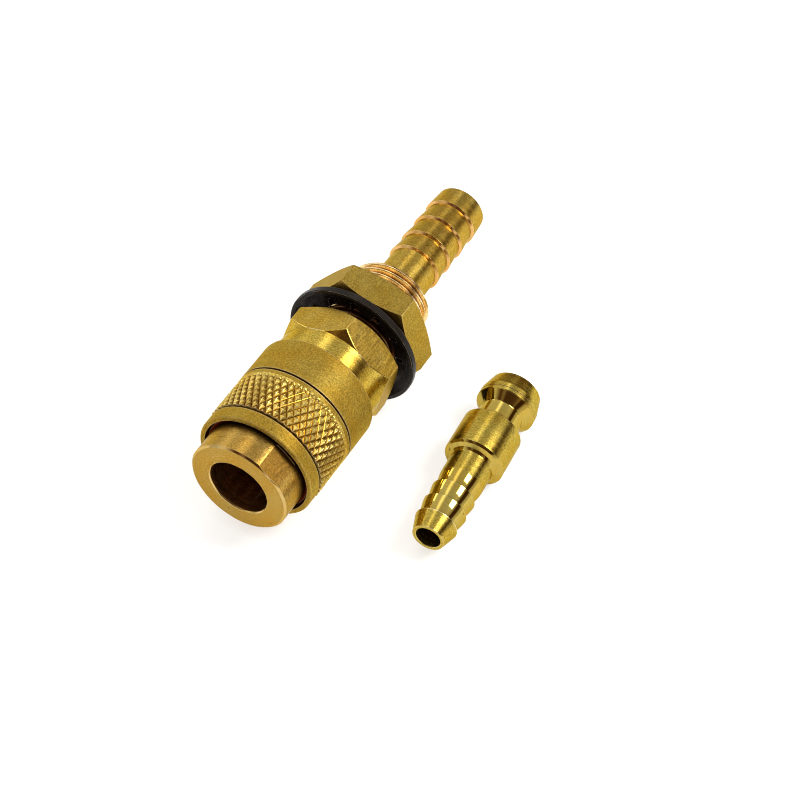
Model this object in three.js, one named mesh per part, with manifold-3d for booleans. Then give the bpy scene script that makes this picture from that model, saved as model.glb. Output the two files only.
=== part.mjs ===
// Panel-mount quick disconnect coupler: a valved ball-lock socket and its loose plug.
//
// Millimetres, +Z up. The socket's axis runs along +Y, from its open nose to its hose barb. The plug lies beside it.
// Every turned outline is a list of [radius, station] corners; a station is the distance along the piece's axis,
// from the socket's nose face or from the plug's hose end.

import * as THREE from 'three';
import { mergeVertices } from 'three/addons/utils/BufferGeometryUtils.js';
import Module from 'manifold-3d';

const wasm = await Module();
wasm.setup();

// ---- Driving dimensions ----

const RUNNING_GAP = 0.05;
const OUTER_SEGMENTS = 36;
const INNER_SEGMENTS = 24;
const FACET_TURN = Math.PI / OUTER_SEGMENTS;

// Socket: the plug bore and the nose around it.
const BORE_RADIUS = 4.62;
const BORE_END = 14.3;
const NOSE_RADIUS = 7.75;
const NOSE_END = 5.05;
const NOSE_FLAT_WIDTH = 14.95;
const NOSE_FLAT_END = 4.6;
const NOSE_FLAT_ANGLE = THREE.MathUtils.degToRad(46);
const CAGE_RADIUS = 6.35;
const CAGE_END = 22.75;

// Lock balls, and the cone in the sleeve that sets how far out they stand.
const BALL_COUNT = 6;
const BALL_RADIUS = 1.5;
const BALL_STATION = 8.8;
const CONE_SLOPE = 0.42;
const CONE_FOOT = 9.47;
const LAND_RADIUS = 6.42;
const RECESS_RADIUS = 7.75;

// Release sleeve.
const SLEEVE_RADIUS = 9.35;
const SLEEVE_FRONT = 4.5;
const SLEEVE_REAR = 21.13;
const LIP_RADIUS = 8.4;
const LIP_DEPTH = 5.9;
const SPRING_SHOULDER = 12.5;
const SPRING_BORE = 7.9;
const SKIRT_BORE = 8.58;

// Rear body: skirt, hexagon, thread and hose barb.
const SKIRT_FRONT = 18.2;
const SKIRT_RADIUS = 8.48;
const HEX_FRONT = 24.72;
const HEX_REAR = 29.5;
const HEX_ACROSS_FLATS = 16.8;
const HEX_ANGLE = THREE.MathUtils.degToRad(76.3);
const THREAD_RADIUS = 6.5;
const THREAD_END = 43.1;
const FLOW_RADIUS = 2.4;
const TAIL_SHOULDER = 23.25;
const BARB_STATIONS = [49.5, 53.07, 56.85, 60.64];
const BARB_CREST = 4.25;
const BARB_ROOT = 3.92;
const BARB_END = 64.34;
const BARB_TIP_RADIUS = 3.8;

// Valve inside the front body.
const SEAT_RADIUS = 3.2;
const SEAT_REAR = 15.3;
const CHAMBER_RADIUS = 4.9;
const POPPET_RADIUS = 4.3;
const PUSHER_RADIUS = 2.9;
const STEM_RADIUS = 1.3;
const GUIDE_FRONT = 21.3;

// Panel hardware.
const WASHER_RADIUS = 10.47;
const WASHER_HOLE = 6.78;
const WASHER_TEETH = 12;
const NUT_FRONT = 32.65;
const NUT_REAR = 37.7;
const NUT_ACROSS_FLATS = 18.0;
const NUT_ANGLE = THREE.MathUtils.degToRad(107.3);

// Plug, and where it lies beside the socket.
const PLUG_RADIUS = 4.57;
const PLUG_BORE = 1.88;
const PLUG_LENGTH = 30.1;
const PLUG_NECK = 3.3;
const PLUG_PLACE = new THREE.Vector2(24.93, 9.43);
const PLUG_TURN = THREE.MathUtils.degToRad(3.88);

// ---- Materials ----

const metal = (color, roughness) => new THREE.MeshStandardMaterial({ color, roughness, metalness: 1 });
const brass = metal(0xb99a4a, 0.38);
const brightBrass = metal(0xc2a24c, 0.28);
const blackSteel = metal(0x1d1a1c, 0.45);
const steel = metal(0xb4b6ba, 0.25);
const rubber = new THREE.MeshStandardMaterial({ color: 0x141416, roughness: 0.7, metalness: 0 });

// ---- Geometry helpers ----

function turned(outline, segments = OUTER_SEGMENTS, start = 0) {
  const points = outline.map(([radius, station]) => new THREE.Vector2(radius, station));
  const onAxis = outline[0][0] === 0;
  if (THREE.ShapeUtils.area(points) < 0) points.reverse();
  if (!onAxis) points.push(points[0].clone());
  return new THREE.LatheGeometry(points, segments, start);
}

function solidOf(geometry) {
  const bare = geometry.clone();
  bare.deleteAttribute('normal');
  bare.deleteAttribute('uv');
  const merged = mergeVertices(bare, 1e-4);
  const corners = merged.index.array;
  const kept = [];
  for (let i = 0; i < corners.length; i += 3) {
    const [a, b, c] = corners.slice(i, i + 3);
    if (a !== b && b !== c && c !== a) kept.push(a, b, c);
  }
  return new wasm.Manifold(new wasm.Mesh({
    numProp: 3,
    vertProperties: new Float32Array(merged.attributes.position.array),
    triVerts: new Uint32Array(kept),
  }));
}

function geometryOf(solid) {
  const mesh = solid.getMesh();
  const geometry = new THREE.BufferGeometry();
  geometry.setAttribute('position', new THREE.BufferAttribute(mesh.vertProperties, 3));
  geometry.setIndex(new THREE.BufferAttribute(mesh.triVerts, 1));
  geometry.computeVertexNormals();
  return geometry;
}

// Cuts every tool out of the blank.
function cut(blank, tools) {
  let solid = solidOf(blank);
  for (const tool of tools) solid = solid.subtract(solidOf(tool));
  return geometryOf(solid);
}

// An outline in the plane across the axis, extruded along the axis between two stations.
function prism(shape, from, to) {
  const geometry = new THREE.ExtrudeGeometry(shape, { depth: to - from, bevelEnabled: false, curveSegments: 18 });
  geometry.rotateX(Math.PI / 2);
  geometry.translate(0, to, 0);
  return geometry;
}

// The metal outside a hexagon: what milling takes off a round blank. The first corner points along the angle,
// measured from +X towards +Z.
function hexagonTool(acrossFlats, angle, from, to) {
  const corner = acrossFlats / 2 / Math.cos(Math.PI / 6);
  const hole = new THREE.Path();
  for (let side = 0; side < 6; side += 1) {
    const at = angle + side * Math.PI / 3;
    const x = corner * Math.cos(at);
    const y = -corner * Math.sin(at);
    if (side === 0) hole.moveTo(x, -y);
    else hole.lineTo(x, -y);
  }
  hole.closePath();
  const around = new THREE.Shape().absarc(0, 0, corner + 2, 0, 2 * Math.PI);
  around.holes.push(hole);
  return prism(around, from, to);
}

function placedBox(width, length, height, place, angle) {
  const geometry = new THREE.BoxGeometry(width, length, height);
  geometry.translate(place.x, place.y, place.z);
  geometry.rotateY(-angle);
  return geometry;
}

class Helix extends THREE.Curve {
  constructor(radius, from, to, turns) {
    super();
    this.radius = radius;
    this.from = from;
    this.to = to;
    this.turns = turns;
  }

  getPoint(t) {
    const angle = 2 * Math.PI * this.turns * t;
    const station = THREE.MathUtils.lerp(this.from, this.to, t);
    return new THREE.Vector3(this.radius * Math.cos(angle), station, this.radius * Math.sin(angle));
  }
}

function coilSpring(radius, wire, from, to, turns) {
  const section = new THREE.Shape().absarc(0, 0, wire / 2, 0, 2 * Math.PI);
  const path = new Helix(radius, from + wire / 2, to - wire / 2, turns);
  const steps = Math.round(turns * 18);
  return new THREE.ExtrudeGeometry(section, { extrudePath: path, steps, curveSegments: 6 });
}

function ringSeal(radius, section, station) {
  const geometry = new THREE.TorusGeometry(radius, section / 2, 8, 32);
  geometry.rotateX(Math.PI / 2);
  geometry.translate(0, station, 0);
  return geometry;
}

// ---- Socket pieces ----

// The nose with the plug bore, the ball cage behind it, and the valve chamber that screws into the rear body.
function frontBody() {
  const grooveFront = 10.75;
  const grooveRear = 12.25;
  const grooveRadius = 5.8;
  const ringGroove = 7.2;
  const ringLand = 7.6;
  const blank = turned([
    [BORE_RADIUS + 0.2, 0],
    [NOSE_RADIUS - 0.2, 0],
    [NOSE_RADIUS, 0.2],
    [NOSE_RADIUS, NOSE_END],
    [ringGroove, NOSE_END],
    [ringGroove, LIP_DEPTH - 0.05],
    [ringLand, LIP_DEPTH - 0.05],
    [ringLand, 6.3],
    [CAGE_RADIUS, 7.0],
    [CAGE_RADIUS, CAGE_END],
    [CHAMBER_RADIUS, CAGE_END],
    [CHAMBER_RADIUS, SEAT_REAR],
    [SEAT_RADIUS, SEAT_REAR],
    [SEAT_RADIUS, BORE_END],
    [BORE_RADIUS, BORE_END],
    [BORE_RADIUS, grooveRear],
    [grooveRadius, grooveRear],
    [grooveRadius, grooveFront],
    [BORE_RADIUS, grooveFront],
    [BORE_RADIUS, 0.2],
  ]);
  const tools = [];
  const ballHole = [[0, 4.3], [BALL_RADIUS - 0.04, 4.3], [BALL_RADIUS + 0.04, 5.05], [BALL_RADIUS + 0.04, 7.4], [0, 7.4]];
  for (let ball = 0; ball < BALL_COUNT; ball += 1) {
    const hole = turned(ballHole, 16);
    hole.rotateZ(-Math.PI / 2);
    hole.translate(0, BALL_STATION, 0);
    hole.rotateY(-ballAngle(ball));
    tools.push(hole);
  }
  const chip = 4;
  for (const side of [0, Math.PI]) {
    const place = new THREE.Vector3(NOSE_FLAT_WIDTH / 2 + chip / 2, NOSE_FLAT_END / 2 - 1, 0);
    tools.push(placedBox(chip, NOSE_FLAT_END + 2, 3 * NOSE_RADIUS, place, NOSE_FLAT_ANGLE + side));
  }
  return cut(blank, tools);
}

function ballAngle(ball) {
  return ball * 2 * Math.PI / BALL_COUNT;
}

// The split ring in the groove behind the nose, which holds the sleeve on.
function sleeveRetainingRing() {
  const inner = 7.26;
  const outer = 8.2;
  const halfGap = 0.16;
  const outline = new THREE.Shape();
  outline.absarc(0, 0, outer, halfGap, 2 * Math.PI - halfGap, false);
  outline.absarc(0, 0, inner, 2 * Math.PI - halfGap, halfGap, true);
  outline.closePath();
  const ring = prism(outline, NOSE_END + RUNNING_GAP, LIP_DEPTH - 0.1);
  ring.rotateY(Math.PI / 2);
  return ring;
}

// The knurled sleeve: the lip around the nose, the unlocking recess and cone, the locking land, and the spring bore.
function releaseSleeve() {
  const bandRadius = SLEEVE_RADIUS - 0.12;
  const knurlFront = 6.94;
  const grooveStation = 14.77;
  const coneTop = CONE_FOOT - (RECESS_RADIUS - LAND_RADIUS) / CONE_SLOPE;
  return turned([
    [LIP_RADIUS, SLEEVE_FRONT],
    [bandRadius - 0.15, SLEEVE_FRONT],
    [bandRadius, SLEEVE_FRONT + 0.15],
    [bandRadius, knurlFront],
    [SLEEVE_RADIUS, knurlFront],
    [SLEEVE_RADIUS, grooveStation - 0.15],
    [SLEEVE_RADIUS - 0.18, grooveStation],
    [SLEEVE_RADIUS, grooveStation + 0.15],
    [SLEEVE_RADIUS, SLEEVE_REAR - 0.2],
    [SLEEVE_RADIUS - 0.2, SLEEVE_REAR],
    [SKIRT_BORE, SLEEVE_REAR],
    [SKIRT_BORE, SPRING_SHOULDER + 3],
    [SPRING_BORE, SPRING_SHOULDER + 3],
    [SPRING_BORE, SPRING_SHOULDER],
    [LAND_RADIUS, SPRING_SHOULDER],
    [LAND_RADIUS, CONE_FOOT],
    [RECESS_RADIUS, coneTop],
    [RECESS_RADIUS, LIP_DEPTH],
    [LIP_RADIUS, LIP_DEPTH],
  ]);
}

function lockBall() {
  return new THREE.IcosahedronGeometry(BALL_RADIUS, 2);
}

// Where the cone holds a ball's centre while the sleeve is forward.
function lockedBallCentre() {
  const coneRadius = LAND_RADIUS + CONE_SLOPE * (CONE_FOOT - BALL_STATION);
  const reach = BALL_RADIUS * Math.hypot(1, CONE_SLOPE);
  return coneRadius - reach - 0.04;
}

// The skirt that guides the sleeve, the hexagon, the mounting thread's blank and the hose barb.
function rearBody() {
  const hexCorner = HEX_ACROSS_FLATS / 2 / Math.cos(Math.PI / 6);
  const barbs = BARB_STATIONS.flatMap((station, ridge) => {
    const nextRidge = BARB_STATIONS[ridge + 1];
    const rise = [[BARB_ROOT, station - 0.05], [BARB_CREST, station]];
    return nextRidge ? rise : [...rise, [BARB_TIP_RADIUS + 0.2, BARB_END - 0.2], [BARB_TIP_RADIUS, BARB_END]];
  });
  const blank = turned([
    [CAGE_RADIUS + RUNNING_GAP, SKIRT_FRONT],
    [SKIRT_RADIUS - 0.15, SKIRT_FRONT],
    [SKIRT_RADIUS, SKIRT_FRONT + 0.15],
    [SKIRT_RADIUS, HEX_FRONT],
    [hexCorner, HEX_FRONT + 1.25],
    [hexCorner, HEX_REAR - 1.05],
    [HEX_ACROSS_FLATS / 2 - 0.05, HEX_REAR],
    [THREAD_RADIUS, HEX_REAR],
    [THREAD_RADIUS, THREAD_END - 0.6],
    [THREAD_RADIUS - 0.6, THREAD_END],
    [BARB_ROOT, THREAD_END],
    ...barbs,
    [FLOW_RADIUS + 0.3, BARB_END],
    [FLOW_RADIUS, BARB_END - 0.4],
    [FLOW_RADIUS, TAIL_SHOULDER + 2.2],
    [POPPET_RADIUS, TAIL_SHOULDER],
    [CAGE_RADIUS + RUNNING_GAP, TAIL_SHOULDER],
  ]);
  return cut(blank, [hexagonTool(HEX_ACROSS_FLATS, HEX_ANGLE, HEX_FRONT, HEX_REAR + 0.1)]);
}

// The poppet: a slotted pusher that reaches into the plug bore, the valve disc, and the guided stem.
function valvePoppet() {
  const pusherFront = 12.1;
  const discFront = 16.0;
  const discRear = 17.2;
  const hollow = 1.9;
  const blank = turned([
    [0, discFront - 1.2],
    [hollow, discFront - 1.2],
    [hollow, pusherFront],
    [PUSHER_RADIUS, pusherFront],
    [PUSHER_RADIUS, discFront],
    [POPPET_RADIUS, discFront],
    [POPPET_RADIUS, discRear],
    [STEM_RADIUS, discRear],
    [STEM_RADIUS, 22.6],
    [0, 22.6],
  ], INNER_SEGMENTS);
  const slots = [0, Math.PI / 2].map((turn) => {
    const place = new THREE.Vector3(0, pusherFront + 0.4, 0);
    return placedBox(3 * PUSHER_RADIUS, 2.4, 1.2, place, turn);
  });
  return cut(blank, slots);
}

function poppetSeal() {
  const front = SEAT_REAR + 0.04;
  const rear = 15.94;
  const inner = PUSHER_RADIUS + 0.06;
  return turned([[inner, front], [POPPET_RADIUS - 0.1, front], [POPPET_RADIUS - 0.1, rear], [inner, rear]], INNER_SEGMENTS);
}

// The drilled disc that holds the valve spring and guides the poppet's stem.
function valveGuide() {
  const rear = TAIL_SHOULDER - RUNNING_GAP;
  const rim = CHAMBER_RADIUS - RUNNING_GAP;
  const bore = STEM_RADIUS + 0.08;
  const blank = turned([[bore, GUIDE_FRONT], [rim, GUIDE_FRONT], [rim, rear], [bore, rear]], INNER_SEGMENTS);
  const holes = [0, 1, 2, 3, 4].map((hole) => {
    const drill = new THREE.CylinderGeometry(0.8, 0.8, 4, 12);
    drill.translate(3.0, rear - 1, 0);
    drill.rotateY(hole * 2 * Math.PI / 5);
    return drill;
  });
  return cut(blank, holes);
}

function bodyGasket() {
  const front = CAGE_END + RUNNING_GAP;
  const rear = TAIL_SHOULDER - RUNNING_GAP;
  const outer = CAGE_RADIUS - RUNNING_GAP;
  const inner = CHAMBER_RADIUS + RUNNING_GAP;
  return turned([[inner, front], [outer, front], [outer, rear], [inner, rear]], INNER_SEGMENTS);
}

// ---- Panel hardware ----

// A dished lock washer: its rim stands forward of its toothed web.
function lockWasher() {
  const webFront = 31.8;
  const webRear = 32.4;
  const rimFront = 30.75;
  const dish = turned([
    [WASHER_HOLE, webFront],
    [8.7, webFront],
    [9.6, rimFront + 0.2],
    [9.85, rimFront],
    [10.35, rimFront],
    [WASHER_RADIUS, rimFront + 0.12],
    [WASHER_RADIUS, rimFront + 0.85],
    [10.25, rimFront + 1.1],
    [9.0, webRear],
    [WASHER_HOLE, webRear],
  ], OUTER_SEGMENTS, FACET_TURN);
  const slots = [];
  for (let tooth = 0; tooth < WASHER_TEETH; tooth += 1) {
    const place = new THREE.Vector3(7.1, webFront + 0.3, 0);
    slots.push(placedBox(2, 2, 1.0, place, tooth * 2 * Math.PI / WASHER_TEETH));
  }
  return cut(dish, slots);
}

function panelNut() {
  const bore = THREAD_RADIUS + 0.08;
  const corner = NUT_ACROSS_FLATS / 2 / Math.cos(Math.PI / 6);
  const blank = turned([
    [bore, NUT_FRONT + 0.4],
    [bore + 0.4, NUT_FRONT],
    [NUT_ACROSS_FLATS / 2 - 0.2, NUT_FRONT],
    [corner, NUT_FRONT + 0.85],
    [corner, NUT_REAR - 0.65],
    [NUT_ACROSS_FLATS / 2, NUT_REAR],
    [bore + 0.4, NUT_REAR],
    [bore, NUT_REAR - 0.4],
  ]);
  return cut(blank, [hexagonTool(NUT_ACROSS_FLATS, NUT_ANGLE, NUT_FRONT - 0.1, NUT_REAR + 0.1)]);
}

// ---- Plug ----

function plugBody() {
  const collarFront = 15.3;
  const collarRear = 21.9;
  const neckRear = 24.9;
  return turned([
    [PLUG_BORE, 0],
    [2.42, 0],
    [3.25, 2.7],
    [2.75, 2.85],
    [3.33, 5.5],
    [2.88, 5.65],
    [3.32, 8.3],
    [2.88, 8.45],
    [3.3, 10.9],
    [3.3, 13.8],
    [3.6, 14.65],
    [4.2, collarFront - 0.25],
    [PLUG_RADIUS, collarFront],
    [PLUG_RADIUS, collarRear - 0.25],
    [PLUG_RADIUS - 0.25, collarRear],
    [PLUG_NECK, collarRear + 0.1],
    [PLUG_NECK, neckRear],
    [PLUG_RADIUS - 0.1, neckRear + 1.25],
    [PLUG_RADIUS, neckRear + 1.4],
    [PLUG_RADIUS, 27.6],
    [3.97, PLUG_LENGTH],
    [PLUG_BORE + 0.3, PLUG_LENGTH],
    [PLUG_BORE, PLUG_LENGTH - 0.3],
  ], 30, Math.PI / 30);
}

// ---- Assembly ----

function piece(name, geometry, material) {
  const mesh = new THREE.Mesh(geometry, material);
  mesh.name = name;
  return mesh;
}

const socket = new THREE.Group();
socket.add(
  piece('front_body', frontBody(), brass),
  piece('sleeve_retaining_ring', sleeveRetainingRing(), steel),
  piece('release_sleeve', releaseSleeve(), brass),
  piece('sleeve_spring', coilSpring(7.2, 0.7, SPRING_SHOULDER + 0.1, SKIRT_FRONT - 0.1, 3.5), steel),
  piece('plug_seal', ringSeal(5.09, 1.3, 11.5), rubber),
  piece('valve_poppet', valvePoppet(), brass),
  piece('poppet_seal', poppetSeal(), rubber),
  piece('valve_spring', coilSpring(2.9, 0.5, 17.3, GUIDE_FRONT - 0.1, 3), steel),
  piece('valve_guide', valveGuide(), brass),
  piece('body_gasket', bodyGasket(), rubber),
  piece('rear_body', rearBody(), brass),
  piece('lock_washer', lockWasher(), blackSteel),
  piece('panel_nut', panelNut(), brass),
);
for (let ball = 0; ball < BALL_COUNT; ball += 1) {
  const mesh = piece(`lock_ball_${ball + 1}`, lockBall(), steel);
  const angle = ballAngle(ball);
  const reach = lockedBallCentre();
  mesh.position.set(reach * Math.cos(angle), BALL_STATION, reach * Math.sin(angle));
  socket.add(mesh);
}
socket.position.z = WASHER_RADIUS * Math.cos(FACET_TURN);

const plug = new THREE.Group();
plug.add(piece('plug', plugBody(), brightBrass));
plug.rotation.z = PLUG_TURN;
plug.position.set(PLUG_PLACE.x, PLUG_PLACE.y, PLUG_RADIUS * Math.cos(Math.PI / 30));

// The origin is the middle of the bottom of the box round both halves.
const coupler = new THREE.Group();
coupler.add(socket, plug);
coupler.updateMatrixWorld(true);
const box = new THREE.Box3().setFromObject(coupler, true);
const middle = box.getCenter(new THREE.Vector3());
coupler.position.set(-middle.x, -middle.y, -box.min.z);

export default coupler;
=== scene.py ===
"""Finished look of a panel-mount quick disconnect coupler: the valved socket and its loose plug, in brass.

Lengths in the tables are millimetres; MM turns them into the frame's metres. A turned piece is built round
its own Y axis from corners of (radius, station, fillet). A station is the distance from the socket's nose
face, or from the plug's hose end.
"""
import math
import bmesh
import bpy
from mathutils import Matrix, Vector


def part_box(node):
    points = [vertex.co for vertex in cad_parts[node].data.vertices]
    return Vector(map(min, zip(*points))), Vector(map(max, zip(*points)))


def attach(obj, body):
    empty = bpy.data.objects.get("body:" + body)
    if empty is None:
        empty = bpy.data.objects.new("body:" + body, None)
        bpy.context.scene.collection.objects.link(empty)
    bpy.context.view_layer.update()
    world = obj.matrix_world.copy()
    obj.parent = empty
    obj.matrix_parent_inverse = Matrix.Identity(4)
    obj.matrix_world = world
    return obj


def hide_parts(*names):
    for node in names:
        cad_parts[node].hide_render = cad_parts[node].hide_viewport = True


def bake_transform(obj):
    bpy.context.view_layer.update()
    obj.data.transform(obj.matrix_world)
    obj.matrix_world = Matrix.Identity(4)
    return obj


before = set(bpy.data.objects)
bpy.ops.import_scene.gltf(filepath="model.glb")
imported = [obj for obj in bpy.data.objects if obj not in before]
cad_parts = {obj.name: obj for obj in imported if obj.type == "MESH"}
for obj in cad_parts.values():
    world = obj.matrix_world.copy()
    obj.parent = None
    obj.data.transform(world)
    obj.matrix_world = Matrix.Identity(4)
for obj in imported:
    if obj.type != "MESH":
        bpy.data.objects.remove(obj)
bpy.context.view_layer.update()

MM = 0.001
TAU = 2 * math.pi

# ---- Places that the frame gives ----

nose_low, nose_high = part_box("front_body")
NOSE = Vector(((nose_low.x + nose_high.x) / 2, nose_low.y, (nose_low.z + nose_high.z) / 2))
plug_low, plug_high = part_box("plug")
PLUG_OFFSET = Vector((24.93, 9.43, 0)) * MM
PLUG_TURN = math.radians(3.88)
PLUG_END = Vector((NOSE.x + PLUG_OFFSET.x, NOSE.y + PLUG_OFFSET.y, (plug_low.z + plug_high.z) / 2))

# ---- Sizes shared by several pieces, in millimetres ----

# A bare name is a radius, and FRONT, REAR, END and STATION are stations.
BORE = 4.62
NOSE_RADIUS = 7.75
NOSE_END = 5.05
CAGE = 6.35
BALL_COUNT = 6
BALL_STATION = 8.8
BALL_RADIUS = 1.5
SLEEVE = 9.35
SKIRT = 8.48
HEX_FRONT = 24.72
HEX_REAR = 29.5
HEX_FLATS = 16.8
HEX_ANGLE = math.radians(76.3)
THREAD = 6.5
THREAD_ROOT = 5.89
THREAD_PITCH = 1.0
THREAD_END = 43.1
NUT_FRONT = 32.65
NUT_REAR = 37.7
NUT_FLATS = 18.0
NUT_ANGLE = math.radians(107.3)

# ---- Colours shared by several materials ----

WHITE = (1, 1, 1, 1)
# Edges are lightened towards this colour: abraded brass, and a painted highlight as well.
RUBBED_AND_HIGHLIT_BRASS = (0.97, 0.83, 0.50, 1)
GLANCING_BRASS = (0.78, 0.68, 0.44, 1)
# Grooves of a cut pattern are browned towards this colour: painted shade.
VALLEY_SHADE = (0.36, 0.24, 0.10, 1)
# Crevices are darkened towards this colour, and their glancing tint towards the next: painted shade, with
# some grime.
SHADE_AND_DIRT = (0.055, 0.010, 0.003, 1)
GLANCING_SHADE_AND_DIRT = (0.20, 0.06, 0.025, 1)

# Brightness of the light tent by the angle round the coupler's axis, from the plug's side over the top.
TENT = (
    (0, 0.95), (6, 0.90), (13, 0.60), (19, 0.07), (32, 0.07), (38, 0.60), (47, 0.85), (52, 1.0),
    (58, 0.85), (66, 0.80), (92, 0.70), (99, 1.0), (104, 2.35), (112, 2.25), (118, 1.0), (140, 0.95),
    (152, 1.05), (160, 0.95), (168, 0.7), (180, 0.85),
)

# ---- How finely shapes are built ----

# A fillet takes up at most this share of a side, and a small one is built in longer steps.
FILLET_SHARE = 0.48
FILLET_STEP = math.radians(7)
SMALL_FILLET = 0.25
SMALL_FILLET_STEP = math.radians(22)
# Edges over the first angle are rounded, and shading breaks along those over the second.
SHARP_EDGE = math.radians(26)
SHADING_EDGE = math.radians(8)


# ---- Camera, floor and light ----

def set_camera():
    """The view from the nose end, high on the plug's side."""
    data = bpy.data.cameras.new("camera")
    data.lens = 99.0
    data.sensor_width = 36.0
    data.clip_start = 0.01
    camera = bpy.data.objects.new("camera", data)
    bpy.context.collection.objects.link(camera)
    camera.location = NOSE + Vector((114.67, -155.53, 236.92)) * MM
    heading = math.radians(29.73)
    drop = math.radians(48.7)
    level = math.cos(drop)
    look = Vector((-math.sin(heading) * level, math.cos(heading) * level, -math.sin(drop)))
    camera.rotation_mode = "QUATERNION"
    camera.rotation_quaternion = look.to_track_quat("-Z", "Y")
    bpy.context.scene.camera = camera
    bpy.context.scene.cycles.filter_width = 1.0


def soft_box(name, toward, distance, width, length, radiance):
    """A soft rectangular light that faces the plug from a direction, its length along the coupler."""
    data = bpy.data.lights.new(name, "AREA")
    data.shape = "RECTANGLE"
    data.size, data.size_y = width, length
    data.energy = radiance * math.pi * width * length
    light = bpy.data.objects.new(name, data)
    bpy.context.collection.objects.link(light)
    outward = Vector(toward).normalized()
    light.location = PLUG_END + outward * distance
    across = Vector((0, 1, 0)).cross(outward).normalized()
    along = outward.cross(across)
    light.rotation_mode = "QUATERNION"
    light.rotation_quaternion = Matrix((across, along, outward)).transposed().to_quaternion()
    light.visible_camera = False


def set_world():
    """A pale tent round the coupler's axis. It is darker low on the plug's side, on the camera's side and
    at the far end, and its dim parts are warm."""
    world = bpy.data.worlds.new("studio")
    world.use_nodes = True
    n = Nodes(world.node_tree)
    direction = n.add("ShaderNodeTexCoord").outputs["Generated"]
    split = n.add("ShaderNodeSeparateXYZ")
    n.link(direction, split.inputs[0])
    x, y, z = split.outputs
    ramp = n.add("ShaderNodeValToRGB")
    n.link(n.span(n.math("ARCTAN2", z, x), 0.0, math.pi, 0.0, 1.0), ramp.inputs[0])
    stops = ramp.color_ramp.elements
    for degrees, level in TENT:
        stop = stops.new(degrees / 180) if 0 < degrees < 180 else stops[0 if degrees == 0 else -1]
        stop.color = (level, level, level, 1)
    front = n.add("ShaderNodeVectorMath", operation="DOT_PRODUCT")
    n.link(direction, front.inputs[0])
    front.inputs[1].default_value = Vector((0.03, -0.78, 0.62)).normalized()
    outer, inner = math.cos(math.radians(42)), math.cos(math.radians(26))
    dark_front = n.span(front.outputs["Value"], outer, inner, 1.0, 0.14)
    dark_far = n.span(y, 0.68, 0.82, 1.0, 0.2)
    light = n.math("MULTIPLY", ramp.outputs["Color"], n.math("MULTIPLY", dark_front, dark_far))
    warm = (1.0, 0.50, 0.28, 1)
    background = world.node_tree.nodes["Background"]
    n.link(n.mix(n.span(light, 0.05, 0.65, 0.0, 1.0), warm, WHITE), background.inputs["Color"])
    n.link(light, background.inputs["Strength"])
    bpy.context.scene.world = world


def set_light():
    set_world()
    soft_box("box_plug_side", toward=(0.552, 0.305, 0.795), distance=0.26,
             width=0.100, length=0.080, radiance=17.0)
    soft_box("box_far_side", toward=(-0.807, 0.256, 0.534), distance=0.30,
             width=0.070, length=0.080, radiance=2.2)
    bpy.context.scene.view_settings.view_transform = "Standard"


def lay_floor():
    """A pale floor that glows a little, so that it stays almost white."""
    data = bpy.data.meshes.new("floor")
    reach = 2.0
    corners = [(-reach, -reach, 0), (reach, -reach, 0), (reach, reach, 0), (-reach, reach, 0)]
    data.from_pydata(corners, [], [(0, 1, 2, 3)])
    floor = bpy.data.objects.new("floor", data)
    bpy.context.collection.objects.link(floor)
    material = bpy.data.materials.new("floor")
    material.use_nodes = True
    shader = material.node_tree.nodes["Principled BSDF"]
    shader.inputs["Base Color"].default_value = (0.62, 0.62, 0.61, 1)
    shader.inputs["Roughness"].default_value = 0.9
    shader.inputs["Emission Color"].default_value = (1.0, 1.0, 0.99, 1)
    shader.inputs["Emission Strength"].default_value = 0.62
    floor.data.materials.append(material)


# ---- Materials ----

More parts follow.
